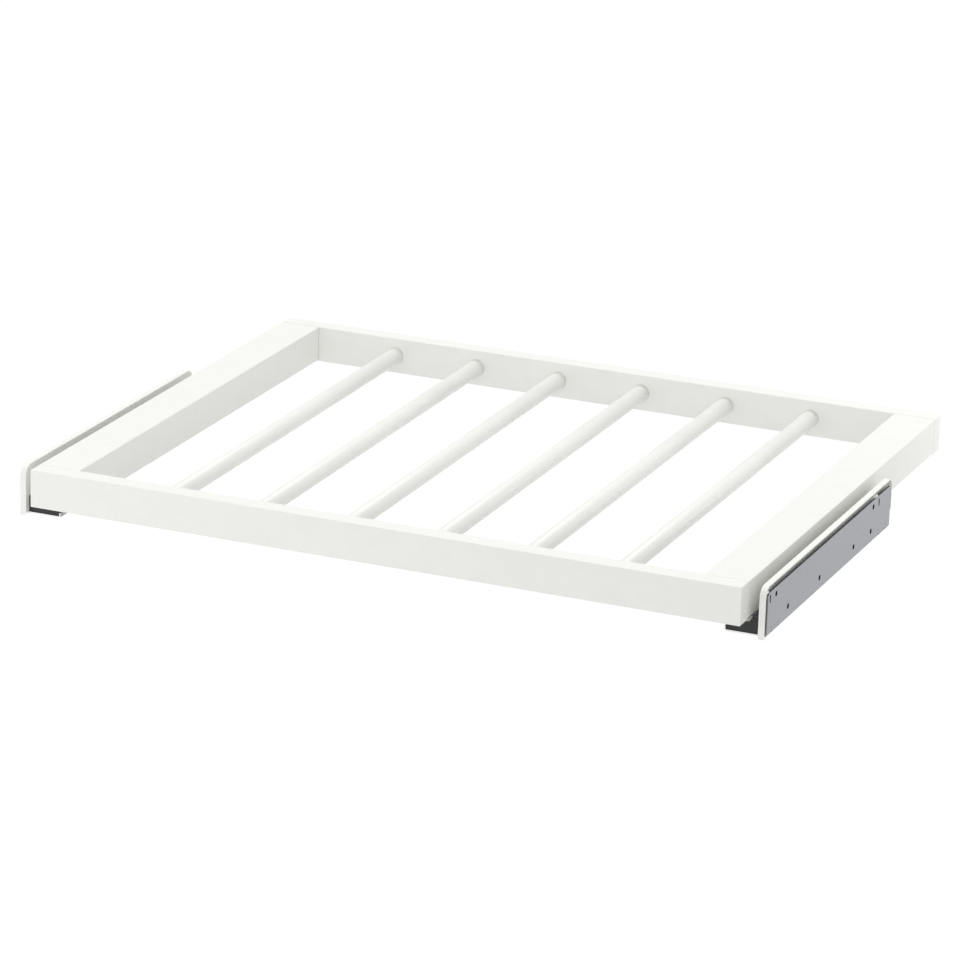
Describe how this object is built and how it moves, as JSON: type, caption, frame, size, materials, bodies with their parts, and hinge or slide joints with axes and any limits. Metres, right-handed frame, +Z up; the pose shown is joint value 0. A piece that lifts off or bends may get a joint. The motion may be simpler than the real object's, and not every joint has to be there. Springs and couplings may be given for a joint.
{
  "type": "pull-out trouser rack",
  "caption": "Shallow white wardrobe frame with rods for hanging trousers, sliding out on a pair of side-mounted telescopic ball runners.",
  "frame": {"origin": "middle of the rack's width and depth, at the height of the lowest edge of the runner covers", "axes": "+X to the rack's right when seen from its front, +Y to its back, +Z up; the rack pulls out along -Y"},
  "size_m": [0.7122, 0.5454, 0.0514],
  "materials": {
    "white_foiled_board": "white foil wrapped round particle board",
    "white_coated_steel_tube": "white powder coat, semi-gloss",
    "white_moulded_plastic": "fine satin moulding",
    "galvanised_sheet": "hot-dip galvanised",
    "zinc_plated_rail": "bright zinc plate",
    "zinc_plated_fastener": "bright zinc plate",
    "zinc_die_casting": "as cast",
    "bright_cage_strip": "cold-rolled strip",
    "bearing_steel": "ground and polished",
    "beech": "plain turned beech",
    "black_rubber": "matt",
    "light_grey_plastic": "satin moulding",
    "charcoal_plastic": "fine satin moulding"
  },
  "bodies": {
    "runner_housings": {"right_mounting_bracket": "galvanised_sheet", "right_runner_cover": "white_moulded_plastic", "right_outer_rail": "zinc_plated_rail", "right_outer_rail_rivets": "zinc_plated_fastener", "left_mounting_bracket": "galvanised_sheet", "left_runner_cover": "white_moulded_plastic", "left_outer_rail": "zinc_plated_rail", "left_outer_rail_rivets": "zinc_plated_fastener"},
    "hanger_frame": {"front_rail": "white_foiled_board", "back_rail": "white_foiled_board", "left_side_rail": "white_foiled_board", "right_side_rail": "white_foiled_board", "rod_1": "white_coated_steel_tube", "rod_2": "white_coated_steel_tube", "rod_3": "white_coated_steel_tube", "rod_4": "white_coated_steel_tube", "rod_5": "white_coated_steel_tube", "rod_6": "white_coated_steel_tube", "corner_dowels": "beech", "cam_bolts": "zinc_plated_fastener", "cam_locks": "zinc_die_casting", "right_inner_rail": "zinc_plated_rail", "right_rail_screws": "zinc_plated_fastener", "right_rail_end_cap": "charcoal_plastic", "right_front_clip": "light_grey_plastic", "left_inner_rail": "zinc_plated_rail", "left_rail_screws": "zinc_plated_fastener", "left_rail_end_cap": "charcoal_plastic", "left_front_clip": "light_grey_plastic"},
    "right_middle_stage": {"right_middle_rail": "zinc_plated_rail", "right_closing_buffer": "black_rubber"},
    "right_lower_cage": {"right_lower_ball_cage": "bright_cage_strip", "right_lower_balls": "bearing_steel"},
    "right_upper_cage": {"right_upper_ball_cage": "bright_cage_strip", "right_upper_balls": "bearing_steel"},
    "left_middle_stage": {"left_middle_rail": "zinc_plated_rail", "left_closing_buffer": "black_rubber"},
    "left_lower_cage": {"left_lower_ball_cage": "bright_cage_strip", "left_lower_balls": "bearing_steel"},
    "left_upper_cage": {"left_upper_ball_cage": "bright_cage_strip", "left_upper_balls": "bearing_steel"}
  },
  "joints": [
    {"name": "frame_slide", "type": "slide", "parent": "runner_housings", "child": "hanger_frame", "axis": [0, -1, 0], "range_m": [0, 0.32]},
    {"name": "right_middle_slide", "type": "slide", "parent": "runner_housings", "child": "right_middle_stage", "axis": [0, -1, 0], "range_m": [0, 0.16]},
    {"name": "right_lower_cage_slide", "type": "slide", "parent": "runner_housings", "child": "right_lower_cage", "axis": [0, -1, 0], "range_m": [0, 0.08]},
    {"name": "right_upper_cage_slide", "type": "slide", "parent": "runner_housings", "child": "right_upper_cage", "axis": [0, -1, 0], "range_m": [0, 0.24]},
    {"name": "left_middle_slide", "type": "slide", "parent": "runner_housings", "child": "left_middle_stage", "axis": [0, -1, 0], "range_m": [0, 0.16]},
    {"name": "left_lower_cage_slide", "type": "slide", "parent": "runner_housings", "child": "left_lower_cage", "axis": [0, -1, 0], "range_m": [0, 0.08]},
    {"name": "left_upper_cage_slide", "type": "slide", "parent": "runner_housings", "child": "left_upper_cage", "axis": [0, -1, 0], "range_m": [0, 0.24]}
  ],
  "couplings": [
    {"joint": "right_middle_slide", "follows": "frame_slide", "ratio": 0.5},
    {"joint": "right_lower_cage_slide", "follows": "frame_slide", "ratio": 0.25},
    {"joint": "right_upper_cage_slide", "follows": "frame_slide", "ratio": 0.75},
    {"joint": "left_middle_slide", "follows": "frame_slide", "ratio": 0.5},
    {"joint": "left_lower_cage_slide", "follows": "frame_slide", "ratio": 0.25},
    {"joint": "left_upper_cage_slide", "follows": "frame_slide", "ratio": 0.75}
  ]
}
